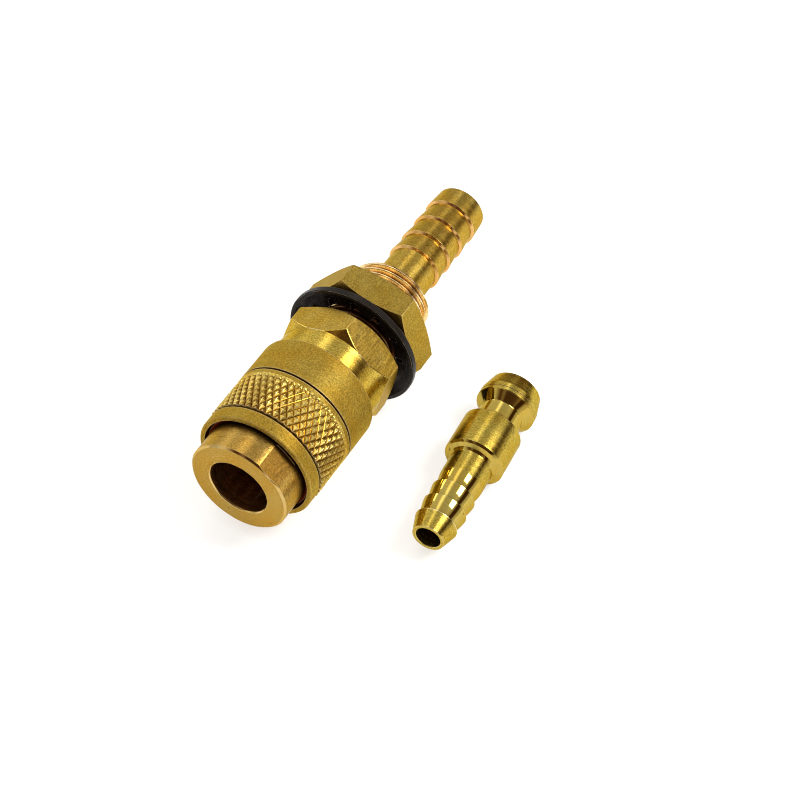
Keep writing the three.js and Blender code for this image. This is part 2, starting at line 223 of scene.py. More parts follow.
class Nodes:
    """Adds shader nodes to one node tree, with short calls for the ones used here."""

    def __init__(self, tree):
        self.tree = tree

    def add(self, kind, **settings):
        node = self.tree.nodes.new(kind)
        for key, value in settings.items():
            setattr(node, key, value)
        return node

    def link(self, source, target):
        self.tree.links.new(source, target)

    def set(self, socket, value):
        """Links another node's output to a socket, or gives the socket a plain value."""
        if hasattr(value, "is_output"):
            self.link(value, socket)
        else:
            socket.default_value = value

    def math(self, operation, a, b=0.0):
        node = self.add("ShaderNodeMath", operation=operation)
        self.set(node.inputs[0], a)
        self.set(node.inputs[1], b)
        return node.outputs[0]

    def combine(self, x, y, z):
        node = self.add("ShaderNodeCombineXYZ")
        for socket, value in zip(node.inputs, (x, y, z)):
            self.set(socket, value)
        return node.outputs[0]

    def noise(self, vector, scale, detail=3.0, roughness=0.5):
        node = self.add("ShaderNodeTexNoise")
        self.link(vector, node.inputs["Vector"])
        node.inputs["Scale"].default_value = scale
        node.inputs["Detail"].default_value = detail
        node.inputs["Roughness"].default_value = roughness
        return node.outputs["Fac"]

    def span(self, value, low, high, to_low, to_high):
        """Takes values from low to high over to the range from to_low to to_high, and stops at its ends."""
        node = self.add("ShaderNodeMapRange")
        self.link(value, node.inputs["Value"])
        ends = {"From Min": low, "From Max": high, "To Min": to_low, "To Max": to_high}
        for key, number in ends.items():
            node.inputs[key].default_value = number
        return node.outputs["Result"]

    def mix(self, factor, a, b, blend="MIX"):
        node = self.add("ShaderNodeMix", data_type="RGBA", blend_type=blend)
        self.set(node.inputs[0], factor)
        self.set(node.inputs[6], a)
        self.set(node.inputs[7], b)
        return node.outputs[2]

    def bump(self, height, depth, normal=None):
        """A normal for a height map of a depth in metres, on top of another bump's normal if given."""
        node = self.add("ShaderNodeBump")
        self.link(height, node.inputs["Height"])
        node.inputs["Distance"].default_value = depth
        if normal is not None:
            self.link(normal, node.inputs["Normal"])
        return node.outputs["Normal"]

    def openness(self, distance, inside=False):
        """1 in the open and less in a crevice. With inside, it is 1 away from edges and less along them."""
        node = self.add("ShaderNodeAmbientOcclusion", samples=6, inside=inside, only_local=inside)
        node.inputs["Distance"].default_value = distance * MM
        return node.outputs["AO"]

    def wear_and_painted_light(self, colour, reach, rub_and_highlight):
        """A brass colour lightened along its edges, as abrasion and a painted highlight, and darkened in
        crevices about as wide as the reach, as painted shade with some grime. The second result is its
        colour at a glancing angle."""
        # Painted highlight: convex edges lightened, beside abrasion.
        rubbed_and_highlit = self.span(self.openness(0.20, inside=True), 0.58, 0.86, rub_and_highlight, 0.0)
        bright = self.mix(rubbed_and_highlit, colour, RUBBED_AND_HIGHLIT_BRASS)
        # Painted shade: darkness in crevices and recesses, with some grime.
        shade_and_dirt = self.span(self.openness(reach), 0.30, 0.80, 0.92, 0.0)
        return self.mix(shade_and_dirt, bright, SHADE_AND_DIRT), self.mix(shade_and_dirt, GLANCING_BRASS, GLANCING_SHADE_AND_DIRT)

    def turned_coordinates(self, turn=0.0):
        """The object's own point, its coordinates and its radius from the axis, which is Y turned by an
        angle about Z."""
        mapping = self.add("ShaderNodeMapping", vector_type="POINT")
        mapping.inputs["Rotation"].default_value = (0, 0, -turn)
        self.link(self.add("ShaderNodeTexCoord").outputs["Object"], mapping.inputs["Vector"])
        point = mapping.outputs["Vector"]
        split = self.add("ShaderNodeSeparateXYZ")
        self.link(point, split.inputs[0])
        x, station, z = split.outputs
        square = self.math("ADD", self.math("MULTIPLY", x, x), self.math("MULTIPLY", z, z))
        return point, x, station, z, self.math("SQRT", square)


class Material(Nodes):
    """A new material with a Principled shader, and the nodes that feed it. Noise scales are per metre."""

    def __init__(self, name):
        self.material = bpy.data.materials.new(name)
        self.material.use_nodes = True
        super().__init__(self.material.node_tree)
        self.shader = self.tree.nodes["Principled BSDF"]

    def stained(self, stain, warm, pale):
        """A colour that a noise mottles between a warm and a pale one, given as (red, green, blue)."""
        return self.mix(self.span(stain, 0.35, 0.65, 0.0, 1.0), (*warm, 1), (*pale, 1))

    def make_brass(self, colour, shade, reach=2.0, rub_and_highlight=0.75):
        """Gives the shader brass of this colour times the shade, its edges abraded and lightened with
        painted highlights, its crevices darkened with painted shade.
        """
        shaded = self.mix(1.0, colour, self.combine(shade, shade, shade), "MULTIPLY")
        # The base colour carries the painted highlights and the painted shade.
        worn_with_painted_light, glancing = self.wear_and_painted_light(shaded, reach, rub_and_highlight)
        self.link(worn_with_painted_light, self.shader.inputs["Base Color"])
        self.link(glancing, self.shader.inputs["Specular Tint"])
        self.shader.inputs["Metallic"].default_value = 1.0


def brass(name, tint, roughness, turn=0.0, shaded_valley=None, polished=False, reach=2.0):
    """Machined brass: fine turning lines round the axis, soft stains, grain and a few dark specks. Given
    two radii in millimetres, a cut pattern gets painted shade in its grooves, brown up to the first and
    clear at the second."""
    n = Material(name)
    point, x, station, z, radius = n.turned_coordinates(turn)
    along = n.math("ADD", station, radius)

    def rings(across_scale, along_scale, detail):
        lines = n.combine(n.math("MULTIPLY", x, across_scale), n.math("MULTIPLY", along, along_scale),
                          n.math("MULTIPLY", z, across_scale))
        return n.noise(lines, 1.0, detail, 0.7)

    fine = rings(90, 7000, 4.0)
    bands = rings(30, 1500, 2.0)
    grain = n.noise(point, 4300.0, 3.0, 0.65)
    stain = n.noise(point, 260.0, 3.0)
    speck = n.noise(point, 1300.0, 1.0)
    red, green, blue = tint
    colour = n.stained(stain, warm=(red * 1.02, green * 0.92, blue * 0.75),
                       pale=(red * 1.02, green * 1.04, blue * 1.2))
    # Painted shade: grooves browned by their depth.
    if shaded_valley:
        deep, clear = shaded_valley
        groove_shade = n.mix(n.span(radius, deep * MM, clear * MM, 0.0, 1.0), VALLEY_SHADE, WHITE)
        colour = n.mix(1.0, colour, groove_shade, "MULTIPLY")
    dark, light = (0.92, 1.08) if polished else (0.66, 1.30)
    shade = n.math("MULTIPLY", n.span(grain, 0.36, 0.64, dark, light), n.span(fine, 0.3, 0.7, 0.88, 1.12))
    shade = n.math("MULTIPLY", shade, n.span(speck, 0.20, 0.27, 0.4, 1.0))
    n.make_brass(colour, shade, reach, rub_and_highlight=0.2 if polished else 0.75)
    spread = 0.01 if polished else 0.04
    rough = n.math("ADD", n.span(fine, 0.3, 0.7, -spread, spread),
                   n.span(bands, 0.3, 0.7, roughness - spread, roughness + spread))
    n.link(rough, n.shader.inputs["Roughness"])
    if not shaded_valley and not polished:
        n.shader.inputs["Anisotropic"].default_value = 0.6
        n.shader.inputs["Anisotropic Rotation"].default_value = 0.25
        tangent = n.add("ShaderNodeTangent", direction_type="RADIAL", axis="Y")
        n.link(tangent.outputs[0], n.shader.inputs["Tangent"])
    depth = 0.000001 if polished else 0.000004
    n.link(n.bump(grain, depth, n.bump(bands, depth, n.bump(fine, depth))), n.shader.inputs["Normal"])
    return n.material


def milled_brass(name, tint, roughness):
    """Flats cut or drawn lengthways: fine straight lines along the axis, broken up by grain."""
    n = Material(name)
    point, x, station, z, _ = n.turned_coordinates()
    across_scale, along_scale = 4200, 500
    lines = n.combine(n.math("MULTIPLY", x, across_scale), n.math("MULTIPLY", station, along_scale),
                      n.math("MULTIPLY", z, across_scale))
    fine = n.noise(lines, 1.0, 3.0, 0.65)
    stain = n.noise(point, 300.0, 3.0)
    grain = n.noise(point, 4300.0, 3.0, 0.65)
    red, green, blue = tint
    colour = n.stained(stain, warm=(red, green * 0.92, blue * 0.75),
                       pale=(red * 1.04, green * 1.04, blue * 1.2))
    shade = n.math("MULTIPLY", n.span(grain, 0.36, 0.64, 0.66, 1.28), n.span(fine, 0.3, 0.7, 0.84, 1.16))
    n.make_brass(colour, shade)
    n.link(n.span(fine, 0.3, 0.7, roughness - 0.05, roughness + 0.07), n.shader.inputs["Roughness"])
    n.link(n.bump(grain, 0.000005, n.bump(fine, 0.000006)), n.shader.inputs["Normal"])
    return n.material


def black_steel():
    """Dark steel with an oil finish, lighter along its edges as abrasion and a painted highlight."""
    n = Material("black_steel")
    point = n.turned_coordinates()[0]
    speck = n.noise(point, 900.0, 4.0, 0.6)
    cloud = n.noise(point, 160.0, 2.0)
    colour = n.stained(cloud, warm=(0.010, 0.008, 0.006), pale=(0.026, 0.019, 0.015))
    # Painted highlight: edges lightened towards pale grey, beside abrasion.
    rubbed_and_highlit = n.span(n.openness(0.14, inside=True), 0.55, 0.84, 1.0, 0.0)
    n.link(n.mix(rubbed_and_highlit, colour, (0.42, 0.38, 0.33, 1)), n.shader.inputs["Base Color"])
    n.shader.inputs["Specular IOR Level"].default_value = 0.10
    n.shader.inputs["Metallic"].default_value = 0.2
    n.link(n.span(speck, 0.3, 0.7, 0.20, 0.38), n.shader.inputs["Roughness"])
    n.link(n.bump(speck, 0.000012), n.shader.inputs["Normal"])
    return n.material


def polished_steel():
    """Bright steel under a thin haze, for the balls and the springs."""
    n = Material("polished_steel")
    point = n.turned_coordinates()[0]
    haze = n.noise(point, 1200.0, 3.0)
    colour = n.mix(n.span(haze, 0.3, 0.7, 0.0, 1.0), (0.50, 0.50, 0.51, 1), (0.60, 0.60, 0.60, 1))
    n.link(colour, n.shader.inputs["Base Color"])
    n.shader.inputs["Metallic"].default_value = 1.0
    n.link(n.span(haze, 0.3, 0.7, 0.12, 0.22), n.shader.inputs["Roughness"])
    n.link(n.bump(haze, 0.000001), n.shader.inputs["Normal"])
    return n.material


def seal_rubber():
    """Black rubber with a faint bloom."""
    n = Material("seal_rubber")
    point = n.turned_coordinates()[0]
    bloom = n.noise(point, 1500.0, 4.0)
    fresh, dusty = (0.012, 0.012, 0.013, 1), (0.028, 0.027, 0.027, 1)
    colour = n.mix(n.span(bloom, 0.35, 0.7, 0.0, 1.0), fresh, dusty)
    n.link(colour, n.shader.inputs["Base Color"])
    n.link(n.span(bloom, 0.3, 0.7, 0.45, 0.62), n.shader.inputs["Roughness"])
    n.link(n.bump(bloom, 0.00001), n.shader.inputs["Normal"])
    return n.material


# ---- Mesh helpers ----

def with_fillets(corners):
    """Points of a closed outline; a corner with a third number is rounded to that radius."""
    count = len(corners)
    points = []
    for i, corner in enumerate(corners):
        here = Vector(corner[:2])
        fillet = corner[2] if len(corner) > 2 else 0
        before = Vector(corners[i - 1][:2]) - here
        after = Vector(corners[(i + 1) % count][:2]) - here
        if not fillet or before.length < 1e-6 or after.length < 1e-6:
            points.append(here)
            continue
        angle = before.angle(after)
        room = FILLET_SHARE * min(before.length, after.length)
        setback = min(fillet / math.tan(angle / 2), room)
        radius = setback * math.tan(angle / 2)
        inward = (before.normalized() + after.normalized()).normalized()
        centre = here + inward * (radius / math.sin(angle / 2))
        start = here + before.normalized() * setback - centre
        end = here + after.normalized() * setback - centre
        sweep = start.angle_signed(end)
        longest = SMALL_FILLET_STEP if fillet < SMALL_FILLET else FILLET_STEP
        steps = max(2, math.ceil(abs(sweep) / longest))
        for step in range(steps + 1):
            turn = Matrix.Rotation(-sweep * step / steps, 2)
            points.append(centre + turn @ start)
    return points


def new_piece(name, vertices, faces, material, at=NOSE, turn=0.0):
    """A mesh object from vertices in millimetres round its own Y axis, which may be turned about Z."""
    turned = Matrix.Rotation(turn, 3, "Z")
    data = bpy.data.meshes.new(name)
    data.from_pydata([turned @ Vector(v) * MM for v in vertices], [], faces)
    data.validate()
    data.materials.append(material)
    piece = bpy.data.objects.new(name, data)
    bpy.context.collection.objects.link(piece)
    piece.location = at
    merge_and_smooth(piece)
    return piece


def merge_and_smooth(piece):
    """Joins vertices that coincide, turns every face outward and shades the piece smooth."""
    mesh = bmesh.new()
    mesh.from_mesh(piece.data)
    bmesh.ops.remove_doubles(mesh, verts=mesh.verts, dist=1e-7)
    bmesh.ops.recalc_face_normals(mesh, faces=mesh.faces)
    mesh.to_mesh(piece.data)
    mesh.free()
    piece.data.shade_smooth()


def revolve(name, corners, material, segments=160, shape=None, **placing):
    """Turns a closed outline round Y. shape(radius, station, angle) may change a vertex's radius, and a
    face that it bends is split along its lower diagonal, so that cut grooves stay sharp."""
    outline = with_fillets(corners)
    vertices = []
    for j in range(segments):
        angle = TAU * j / segments
        for radius, station in outline:
            r = shape(radius, station, angle) if shape else radius
            vertices.append((r * math.cos(angle), station, r * math.sin(angle)))
    rows = len(outline)
    faces = []
    for j in range(segments):
        near, far = j * rows, (j + 1) % segments * rows
        for i in range(rows):
            up = (i + 1) % rows
            a, b, c, d = near + i, near + up, far + up, far + i
            corner_signs = ((a, 1), (b, -1), (c, 1), (d, -1)) if shape else ()
            bend = sum(math.hypot(vertices[k][0], vertices[k][2]) * sign for k, sign in corner_signs)
            if abs(bend) < 1e-6:
                faces.append((a, b, c, d))
            elif bend < 0:
                faces += [(a, b, c), (a, c, d)]
            else:
                faces += [(a, b, d), (b, c, d)]
    return new_piece(name, vertices, faces, material, **placing)


def baked(piece):
    """Applies the piece's modifiers to its mesh."""
    shape = piece.evaluated_get(bpy.context.evaluated_depsgraph_get())
    data = bpy.data.meshes.new_from_object(shape)
    piece.modifiers.clear()
    piece.data = data


def carve(piece, tool):
    """Cuts the tool's shape out of a piece and removes the tool."""
    modifier = piece.modifiers.new("boolean", "BOOLEAN")
    modifier.object = tool
    modifier.operation = "DIFFERENCE"
    modifier.solver = "EXACT"
    modifier.material_mode = "TRANSFER"
    baked(piece)
    bpy.data.objects.remove(tool)


def soften(piece, width, start=-math.inf, end=math.inf):
    """Joins vertices that nearly meet, and puts a small round on the sharp edges between two stations."""
    mesh = bmesh.new()
    mesh.from_mesh(piece.data)
    bmesh.ops.remove_doubles(mesh, verts=mesh.verts, dist=0.012 * MM)
    bmesh.ops.dissolve_degenerate(mesh, edges=mesh.edges, dist=0.01 * MM)
    sharp = [edge for edge in mesh.edges
             if len(edge.link_faces) == 2 and edge.calc_face_angle() > SHARP_EDGE
             and all(start * MM < vertex.co.y < end * MM for vertex in edge.verts)]
    bmesh.ops.bevel(mesh, geom=sharp, offset=width * MM, offset_type="OFFSET", segments=2, profile=0.5,
                    affect="EDGES", clamp_overlap=False)
    mesh.to_mesh(piece.data)
    mesh.free()
    settle(piece)


def settle(piece):
    """Smooth shading, broken at edges of more than a few degrees, so that flats and cones stay true."""
    piece.data.shade_smooth()
    piece.data.set_sharp_from_angle(angle=SHADING_EDGE)


def prism(name, outline, start, end, material, **placing):
    """A straight-sided solid along Y from an outline of (x, z) points."""
    count = len(outline)
    vertices = [(x, station, z) for station in (start, end) for x, z in outline]
    faces = [tuple(range(count)), tuple(range(2 * count - 1, count - 1, -1))]
    for i in range(count):
        up = (i + 1) % count
        faces.append((i, up, count + up, count + i))
    return new_piece(name, vertices, faces, material, **placing)


def hexagon(across_flats, first_corner):
    """The six corners of a hexagon, from one at an angle."""
    corner = across_flats / 2 / math.cos(math.pi / 6)
    return [(corner * math.cos(first_corner + k * TAU / 6), corner * math.sin(first_corner + k * TAU / 6))
            for k in range(6)]


def circle(centre, radius, count=20):
    """Points round a circle."""
    return [(centre[0] + radius * math.cos(a), centre[1] + radius * math.sin(a))
            for a in (TAU * i / count for i in range(count))]


def spoke(angle):
    """Unit vectors in the (x, z) plane: one away from the axis at an angle, and one square to it."""
    return Vector((math.cos(angle), math.sin(angle))), Vector((-math.sin(angle), math.cos(angle)))


def give(piece, material, chosen):
    """Another material for the faces chosen by radius, station and slope, which is 1 across the axis."""
    piece.data.materials.append(material)
    for face in piece.data.polygons:
        x, y, z = face.center / MM
        if chosen(math.hypot(x, z), y, abs(face.normal.y)):
            face.material_index = len(piece.data.materials) - 1


def cut_outside(piece, outline, start, end, material):
    """Takes off everything outside a convex outline, side by side, between two stations."""
    count = len(outline)
    for k in range(count):
        a, b = Vector(outline[k]), Vector(outline[(k + 1) % count])
        along = (b - a).normalized()
        out = Vector((along.y, -along.x))
        if out.dot(a) < 0:
            out = -out
        corners = [a - along * 6, a - along * 6 + out * 4, b + along * 6 + out * 4, b + along * 6]
        carve(piece, prism("flat_tool", corners, start, end, material))


# ---- Turned pieces with special surfaces ----

def thread_radius(crest, root, station, angle):
    """The radius at a place on a right-handed thread with small flats on its crests and roots."""
    phase = (station / THREAD_PITCH + angle / TAU) % 1.0
    root_flat, flank = 0.17, 0.66
    rise = min(max((1 - abs(2 * phase - 1) - root_flat) / flank, 0.0), 1.0)
    eased = 0.5 - 0.5 * math.cos(math.pi * rise)
    straight_share, eased_share = 0.6, 0.4
    return root + (crest - root) * (straight_share * rise + eased_share * eased)


def threaded(name, before, after, start, end, crest, root, material, segments=144):
    """A turned piece whose outline runs along a list of corners, a helical thread and a second list."""
    vertices, faces = [], []
    sunk = 0.05

    def thread_point(station, angle):
        """A point of the thread, which rises at 45 degrees from just under its root at either end."""
        s = min(max(station, start), end)
        cone = min(s - start, end - s) + root - sunk
        return min(thread_radius(crest, root, s, angle), cone), s

    def strip(points_at):
        """Adds a band of faces right round the axis from its column of points at each angle."""
        base = len(vertices)
        rows = 0
        for j in range(segments + 1):
            angle = TAU * j / segments
            column = points_at(j, angle)
            rows = len(column)
            for radius, station in column:
                vertices.append((radius * math.cos(angle), station, radius * math.sin(angle)))
        for j in range(segments):
            near, far = base + j * rows, base + (j + 1) * rows
            for i in range(rows - 1):
                faces.append((near + i, near + i + 1, far + i + 1, far + i))

    per_turn = 16
    count = math.ceil((end - start) / THREAD_PITCH * per_turn)

    def helix(j, angle):
        return [thread_point(start + (k - per_turn * j / segments) * THREAD_PITCH / per_turn, angle)
                for k in range(count + per_turn + 1)]

    first = with_fillets(before)
    last = with_fillets(after)
    strip(lambda j, angle: [tuple(p) for p in first] + [thread_point(start, angle)])
    strip(helix)
    strip(lambda j, angle: [thread_point(end, angle)] + [tuple(p) for p in last] + [tuple(first[0])])
    return new_piece(name, vertices, faces, material)


def knurl_height(along, around):
    """0 in the grooves and 1 on the flat tops of diamonds one unit apart."""
    first = abs((along + around + 0.5) % 1.0 - 0.5) * 2
    second = abs((along - around + 0.5) % 1.0 - 0.5) * 2
    groove_floor, flank = 0.02, 0.76
    return min(max((min(first, second) - groove_floor) / flank, 0.0), 1.0)


def helix_wire(name, radius, wire, start, end, turns, material):
    """A coil spring: round wire on a helix, with its two end turns closed up against their seats."""
    steps_per_turn, sides = 48, 12
    steps = round(turns * steps_per_turn)
    even_share, closed_share = 0.35, 0.65
    low, high = start + wire / 2, end - wire / 2
    vertices, faces = [], []
    for i in range(steps + 1):
        t = i / steps
        angle = TAU * turns * t
        eased = t * t * (3 - 2 * t)
        station = low + (high - low) * (even_share * t + closed_share * eased)
        centre = Vector((radius * math.cos(angle), station, radius * math.sin(angle)))
        outward = Vector((math.cos(angle), 0, math.sin(angle)))
        for k in range(sides):
            a = TAU * k / sides
            rise = Vector((0, wire / 2 * math.sin(a), 0))
            vertices.append(centre + outward * (wire / 2 * math.cos(a)) + rise)
    for i in range(steps):
        for k in range(sides):
            up = (k + 1) % sides
            faces.append((i * sides + k, i * sides + up, (i + 1) * sides + up, (i + 1) * sides + k))
    faces.append(tuple(range(sides)))
    faces.append(tuple(range((steps + 1) * sides - 1, steps * sides - 1, -1)))
    return new_piece(name, vertices, faces, material)


# ---- The socket ----

def make_front_body(turned, milled, shaded, polished):
    piece = revolve("nose_and_cage", [
        (BORE, 0.15), (BORE + 0.12, 0, 0.03), (NOSE_RADIUS - 0.28, 0, 0.02), (NOSE_RADIUS, 0.28, 0.02),
        (NOSE_RADIUS, NOSE_END, 0.05), (7.2, NOSE_END), (7.2, 5.85), (7.6, 5.85, 0.05), (7.6, 6.3, 0.05),
        (CAGE, 7.0, 0.1), (CAGE, 22.75, 0.1), (4.9, 22.75), (4.9, 15.3), (3.2, 15.3, 0.08),
        (3.2, 14.3, 0.08), (BORE, 14.3), (BORE, 12.25, 0.05), (5.8, 12.25), (5.8, 10.75),
        (BORE, 10.75, 0.05),
    ], turned)
    flat_angle, flat, flat_end = math.radians(46), 7.475, 4.6
    for k in range(2):
        out, side = spoke(flat_angle + k * math.pi)
        corners = [out * a + side * b for a, b in ((flat, -12), (12, -12), (12, 12), (flat, 12))]
        carve(piece, prism("flat_tool", corners, -1, flat_end, milled))
    for k in range(BALL_COUNT):
        angle = TAU * k / BALL_COUNT
        drill = revolve("drill", [
            (0, 4.3), (BALL_RADIUS - 0.04, 4.3), (BALL_RADIUS + 0.04, 5.0), (BALL_RADIUS + 0.04, 8), (0, 8),
        ], turned, 40)
        outward = Vector((math.cos(angle), 0, math.sin(angle)))
        drill.rotation_mode = "QUATERNION"
        drill.rotation_quaternion = outward.to_track_quat("Y", "Z")
        drill.location = NOSE + Vector((0, BALL_STATION, 0)) * MM
        bpy.context.view_layer.update()
        carve(piece, drill)
    soften(piece, 0.05)
    # Painted shade: the inside of the bore takes the darker brass.
    give(piece, shaded, lambda radius, station, slope: radius < 5.9 and station > 0.2)
    give(piece, polished, lambda radius, station, slope: station < 0.3 and 0.5 < slope < 0.9)
    return piece


def make_sleeve(turned, knurled):
    teeth, samples, pitch = 50, 8, 2.0
    front, rear = 7.0, 13.9
    segments = teeth * samples
    rows = round((rear - front) / pitch * samples)
    band = [(SLEEVE, front + i * (rear - front) / rows) for i in range(rows + 1)]
    profile = [
        (8.4, 4.5, 0.06), (9.06, 4.5, 0.05), (9.2, 4.66, 0.06), (9.2, 6.6, 0.03), (8.84, 6.7, 0.02),
        (8.84, 6.9, 0.02), *band, (SLEEVE, 14.57, 0.03), (SLEEVE - 0.4, 14.62, 0.02),
        (SLEEVE - 0.4, 14.86, 0.02), (SLEEVE, 14.91, 0.03), (SLEEVE, 20.78, 0.02),
        (SLEEVE - 0.1, 21.13, 0.02), (8.61, 21.13, 0.03), (8.58, 15.5), (7.9, 15.5), (7.9, 12.5),
        (6.42, 12.5, 0.05), (6.42, 9.47, 0.1), (7.75, 6.3), (7.75, 5.9), (8.4, 5.9, 0.03),
    ]
    depth, run_out, slack = 0.28, 0.5, 1e-4

    def cut(radius, station, angle):
        """The radius after knurling, which runs out towards the band's rear end."""
        if radius < SLEEVE - slack or not front - slack < station < rear + slack:
            return radius
        around = angle / TAU * teeth
        along = (station - front) / pitch
        fade = min(1.0, (rear - station) / run_out)
        return radius - depth * (1 - knurl_height(along, around)) * fade

    piece = revolve("knurled_sleeve", profile, turned, segments, cut)
    piece.data.materials.append(knurled)
    for face in piece.data.polygons:
        x, y, z = face.center / MM
        if front - 0.01 < y < rear + 0.01 and math.hypot(x, z) > 9.0:
            face.material_index = 1
    settle(piece)
    return piece


def make_retaining_ring(material):
    """A snap ring with a gap, as a bent bar of one outline."""
    outline = with_fillets([(7.26, 5.1, 0.06), (8.2, 5.1, 0.06), (8.2, 5.8, 0.06), (7.26, 5.8, 0.06)])
    steps, half_gap = 120, 0.16
    vertices, faces = [], []
    rows = len(outline)
    for j in range(steps + 1):
        angle = -math.pi / 2 + half_gap + (TAU - 2 * half_gap) * j / steps
        for radius, station in outline:
            vertices.append((radius * math.cos(angle), station, radius * math.sin(angle)))
    for j in range(steps):
        for i in range(rows):
            up = (i + 1) % rows
            faces.append((j * rows + i, j * rows + up, (j + 1) * rows + up, (j + 1) * rows + i))
    faces.append(tuple(range(rows)))
    faces.append(tuple(range((steps + 1) * rows - 1, steps * rows - 1, -1)))
    piece = new_piece("retaining_ring", vertices, faces, material)
    settle(piece)
    return piece


def make_rear_body(turned, milled, skirt, threads, ridged, shaded):
    """The rear half: skirt, hexagon, threaded shank and hose barb, with the bore on the inside."""
    corner = HEX_FLATS / 2 / math.cos(math.pi / 6)
    before = [
        (2.7, 64.34, 0.1), (2.4, 64.0, 0.05), (2.4, 25.45), (4.3, 23.25), (CAGE + 0.05, 23.25),
        (CAGE + 0.05, 18.2), (SKIRT - 0.15, 18.2, 0.05), (SKIRT, 18.35, 0.05), (SKIRT, HEX_FRONT, 0.08),
        (corner + 0.05, HEX_FRONT + 1.3), (corner + 0.05, HEX_REAR - 1.1),
        (HEX_FLATS / 2 - 0.05, HEX_REAR, 0.06), (THREAD_ROOT, HEX_REAR),
    ]
    after = [(4.1, THREAD_END), (3.92, THREAD_END + 0.15, 0.1)]
    for station in (49.5, 53.07, 56.85, 60.64):
        after += [(3.88, station - 0.27, 0.08), (4.29, station, 0.08)]
    after += [(4.0, 64.14, 0.05), (3.85, 64.34, 0.05)]
    piece = threaded("rear_body_and_barb", before, after, HEX_REAR, THREAD_END, THREAD, THREAD_ROOT, turned)
    cut_outside(piece, hexagon(HEX_FLATS, HEX_ANGLE), HEX_FRONT - 0.02, HEX_REAR + 0.3, milled)
    soften(piece, 0.08, HEX_FRONT - 0.5, HEX_REAR + 0.05)
    give(piece, skirt, lambda radius, station, slope:
         station < HEX_FRONT + 1.3 and radius > 8 and slope < 0.95)
    give(piece, ridged, lambda radius, station, slope:
         48 < station < 61 and slope > 0.5 and radius > 3.5)
    give(piece, threads, lambda radius, station, slope:
         NUT_FRONT < station < THREAD_END and radius > 5)
    # Painted shade: the thread in the crevice between hexagon and nut takes the darker brass.
    give(piece, shaded, lambda radius, station, slope:
         HEX_REAR - 0.05 < station < NUT_FRONT and 5 < radius < 8)
    return piece


def make_poppet(turned):
    """The valve: a hollow head with two crossed slots through its rim, a flange and a stem."""
    piece = revolve("poppet", [
        (0, 14.8), (1.9, 14.8), (1.9, 12.1, 0.05), (2.9, 12.1, 0.1), (2.9, 16, 0.1), (4.3, 16, 0.08),
        (4.3, 17.2, 0.08), (1.3, 17.2), (1.3, 22.6, 0.2), (0, 22.6),
    ], turned, 64)
    for out in (Vector((1, 0)), Vector((0, 1))):
        side = Vector((-out.y, out.x))
        corners = [out * a + side * b for a, b in ((-5, -0.6), (5, -0.6), (5, 0.6), (-5, 0.6))]
        carve(piece, prism("slot_tool", corners, 11, 13.7, turned))
    soften(piece, 0.05)
    return piece


def make_guide(turned):
    """The disc that holds the valve's stem, with five round holes for the air."""
    hole_count, hole_circle, hole = 5, 3.0, 0.8
    piece = revolve("valve_guide_disc", [
        (1.38, 21.3, 0.05), (4.85, 21.3, 0.08), (4.85, 23.2, 0.08), (1.38, 23.2, 0.05),
    ], turned, 64)
    for k in range(hole_count):
        angle = TAU * k / hole_count
        outline = circle((hole_circle * math.cos(angle), -hole_circle * math.sin(angle)), hole)
        carve(piece, prism("hole_tool", outline, 20, 25, turned))
    soften(piece, 0.04)
    return piece


# ---- The panel hardware ----

def make_washer(material):
    """A dished washer with inner teeth, each of them twisted out of its plane."""
    piece = revolve("lock_washer_dish", [
        (6.78, 31.8, 0.06), (8.7, 31.8, 0.3), (9.6, 30.95, 0.25), (9.85, 30.75, 0.1), (10.37, 30.75, 0.03),
        (10.47, 30.87, 0.03), (10.47, 31.6, 0.05), (10.25, 31.85, 0.2), (9.0, 32.4, 0.3),
        (6.78, 32.4, 0.06),
    ], material, 144)
    teeth, half, end = 12, 0.5, 7.6
    for k in range(teeth):
        out, side = spoke(TAU * k / teeth)
        outline = [out * 5 - side * half, out * end - side * half]
        outline += [out * (end + half * math.sin(a)) - side * (half * math.cos(a))
                    for a in (math.pi * i / 8 for i in range(1, 8))]
        outline += [out * end + side * half, out * 5 + side * half]
        carve(piece, prism("slot_tool", outline, 30, 34, material))
    tooth_foot, twist = 8.3, 0.3
    for vertex in piece.data.vertices:
        x, y, z = vertex.co / MM
        radius = math.hypot(x, z)
        if radius < tooth_foot:
            phase = (math.atan2(z, x) / TAU * teeth) % 1.0 - 0.5
            vertex.co.y += twist * phase * (tooth_foot - radius) * MM
    soften(piece, 0.04)
    return piece


def make_nut(turned, milled, shaded):
    bore = THREAD + 0.08
    corner = NUT_FLATS / 2 / math.cos(math.pi / 6)
    piece = revolve("hex_nut", [
        (bore, NUT_FRONT + 0.4), (bore + 0.4, NUT_FRONT), (NUT_FLATS / 2 - 0.2, NUT_FRONT, 0.08),
        (corner + 0.02, NUT_FRONT + 0.87), (corner + 0.02, NUT_REAR - 0.67),
        (NUT_FLATS / 2, NUT_REAR, 0.05), (bore + 0.4, NUT_REAR), (bore, NUT_REAR - 0.4),
    ], turned, 144)
    cut_outside(piece, hexagon(NUT_FLATS, NUT_ANGLE), NUT_FRONT - 0.1, NUT_REAR + 0.1, milled)
    soften(piece, 0.08)
    # Painted shade: the nut's front face behind the washer takes the darker brass.
    give(piece, shaded, lambda radius, station, slope: station < NUT_FRONT + 0.4 and slope > 0.9)
    return piece


# ---- The plug ----

def barb(foot, ridge, ridge_fillet=0.03):
    """Corners of a hose barb from its foot up to its ridge, on a slight outward curve."""
    (low, start), (high, end) = foot, ridge
    bow, steps = 0.10, 4
    curve = [(low + (high - low) * t + 4 * bow * t * (1 - t), start + (end - start) * t)
             for t in (i / steps for i in range(1, steps))]
    return [(low, start, 0.04), *curve, (high, end, ridge_fillet)]


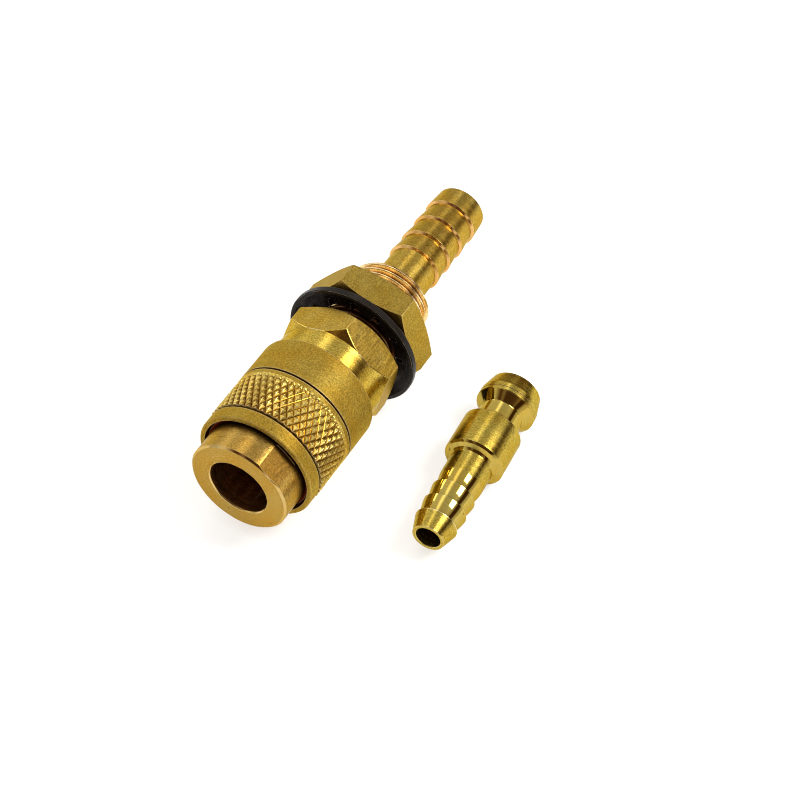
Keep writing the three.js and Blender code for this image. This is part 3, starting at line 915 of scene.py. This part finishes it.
def make_plug(turned, polished):
    piece = revolve("plug_turning", [
        (1.88, 0.06, 0.03), (1.97, 0, 0.04), (2.42, 0, 0.05), (3.25, 2.7, 0.03),
        *barb((2.62, 2.83), (3.36, 5.5)), *barb((2.70, 5.63), (3.37, 8.3)),
        *barb((2.70, 8.43), (3.3, 10.9), ridge_fillet=0.15), (3.3, 14.35, 0.3), (3.62, 14.75, 0.12),
        (4.25, 15.02, 0.08), (4.57, 15.32, 0.05), (4.57, 21.65, 0.05), (4.32, 21.88, 0.04),
        (3.3, 21.98, 0.1), (3.3, 24.9, 0.2), (4.47, 26.15, 0.05), (4.57, 26.3, 0.04), (4.57, 26.75, 0.02),
        (4.49, 26.82, 0.02), (4.57, 26.89, 0.02), (4.57, 27.6, 0.12), (3.97, 30.1, 0.1), (2.18, 30.1, 0.06),
        (1.88, 29.8, 0.05),
    ], turned, 160, at=PLUG_END, turn=PLUG_TURN)
    settle(piece)
    piece.data.materials.append(polished)
    axis = Vector((-math.sin(PLUG_TURN), math.cos(PLUG_TURN), 0))
    bore = 2.1
    barbs, cone, groove = (2.7, 10.9), (13.8, 15.3), (21.9, 26.2)
    for face in piece.data.polygons:
        along = face.center.dot(axis)
        radius = (face.center - axis * along).length / MM
        if radius >= bore and any(start < along / MM < end for start, end in (barbs, cone, groove)):
            face.material_index = 1
    return piece


# ---- Assembly ----

def place(piece, body, slot, *nodes):
    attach(piece, body)
    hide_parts(*nodes)


def build():
    """Makes every visible piece and says which frame nodes it replaces."""
    tint = (0.45, 0.30, 0.049)
    turned = brass("turned_brass", tint, 0.31)
    # The knurl and the thread get painted shade in their grooves, between the two radii given.
    knurled = brass("knurled_brass", (0.60, 0.43, 0.085), 0.30, shaded_valley=(9.08, 9.2), reach=0.4)
    sleeve = brass("sleeve_brass", (0.47, 0.325, 0.050), 0.66)
    skirt = brass("skirt_brass", (0.51, 0.36, 0.055), 0.22)
    threads = brass("thread_brass", (0.92, 0.68, 0.33), 0.20, shaded_valley=(5.9, 6.25), reach=0.4)
    milled = milled_brass("milled_brass", tint, 0.34)
    ridged = brass("ridge_brass", (0.70, 0.42, 0.14), 0.15, polished=True)
    milled_nut = milled_brass("milled_nut_brass", (0.345, 0.238, 0.041), 0.36)
    nose = brass("nose_brass", (0.42, 0.262, 0.056), 0.31)
    milled_nose = milled_brass("milled_nose_brass", (0.33, 0.19, 0.036), 0.34)
    polished_nose = brass("polished_nose_brass", (0.55, 0.38, 0.12), 0.07, polished=True)
    # Darker brass for the bore, the valve, the thread in the crevice by the washer and the nut's face
    # behind it: painted shade.
    shaded = brass("painted_shade_brass", (0.34, 0.15, 0.045), 0.30)
    bright = brass("bright_brass", (0.42, 0.31, 0.050), 0.25, turn=PLUG_TURN)
    polished = brass("polished_brass", (0.44, 0.325, 0.062), 0.05, turn=PLUG_TURN, polished=True)
    dark = black_steel()
    steel = polished_steel()
    # Dark brown for the snap ring in the gap behind the sleeve's lip: painted shade.
    painted_shade = brass("painted_shade_ring", (0.06, 0.022, 0.012), 0.36)
    rubber = seal_rubber()

    front_body = make_front_body(nose, milled_nose, shaded, polished_nose)
    place(front_body, "socket_body", "brass", "front_body")
    place(make_sleeve(sleeve, knurled), "release_sleeve", "brass", "release_sleeve")
    place(make_retaining_ring(painted_shade), "socket_body", "steel", "sleeve_retaining_ring")
    rear_body = make_rear_body(turned, milled, skirt, threads, ridged, shaded)
    place(rear_body, "socket_body", "brass", "rear_body")
    # The valve lies deep in the bore and takes the darker brass of painted shade.
    place(make_poppet(shaded), "valve_poppet", "brass", "valve_poppet")
    place(make_guide(turned), "socket_body", "brass", "valve_guide")
    place(make_washer(dark), "lock_washer", "black_steel", "lock_washer")
    place(make_nut(turned, milled_nut, shaded), "panel_nut", "brass", "panel_nut")
    place(make_plug(bright, polished), "plug", "bright_brass", "plug")

    ring = circle((5.09, 11.5), 0.65)
    place(revolve("bore_seal", ring, rubber, 80), "socket_body", "rubber", "plug_seal")
    face = [(2.96, 15.34, 0.08), (4.2, 15.34, 0.08), (4.2, 15.94, 0.08), (2.96, 15.94, 0.08)]
    place(revolve("valve_face_seal", face, rubber, 64), "valve_poppet", "rubber", "poppet_seal")
    gasket = [(4.95, 22.8, 0.05), (6.3, 22.8, 0.05), (6.3, 23.2, 0.05), (4.95, 23.2, 0.05)]
    place(revolve("joint_gasket", gasket, rubber, 64), "socket_body", "rubber", "body_gasket")

    arc = [(BALL_RADIUS * math.sin(a), -BALL_RADIUS * math.cos(a))
           for a in (math.pi * i / 24 for i in range(25))]
    for k in range(BALL_COUNT):
        node = f"lock_ball_{k + 1}"
        low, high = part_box(node)
        ball = revolve(f"ball_{k + 1}", arc, steel, 48, at=(low + high) / 2)
        place(ball, node, "steel", node)

    def at(station):
        """A point on the socket's axis."""
        return NOSE + Vector((0, station, 0)) * MM

    big = helix_wire("sleeve_return_spring", 7.2, 0.7, 12.6, 18.1, 3.5, steel)
    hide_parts("sleeve_spring")
    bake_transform(big)
    small = helix_wire("valve_return_spring", 2.9, 0.5, 17.3, 21.2, 3, steel)
    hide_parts("valve_spring")
    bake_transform(small)


set_camera()
set_light()
lay_floor()
build()
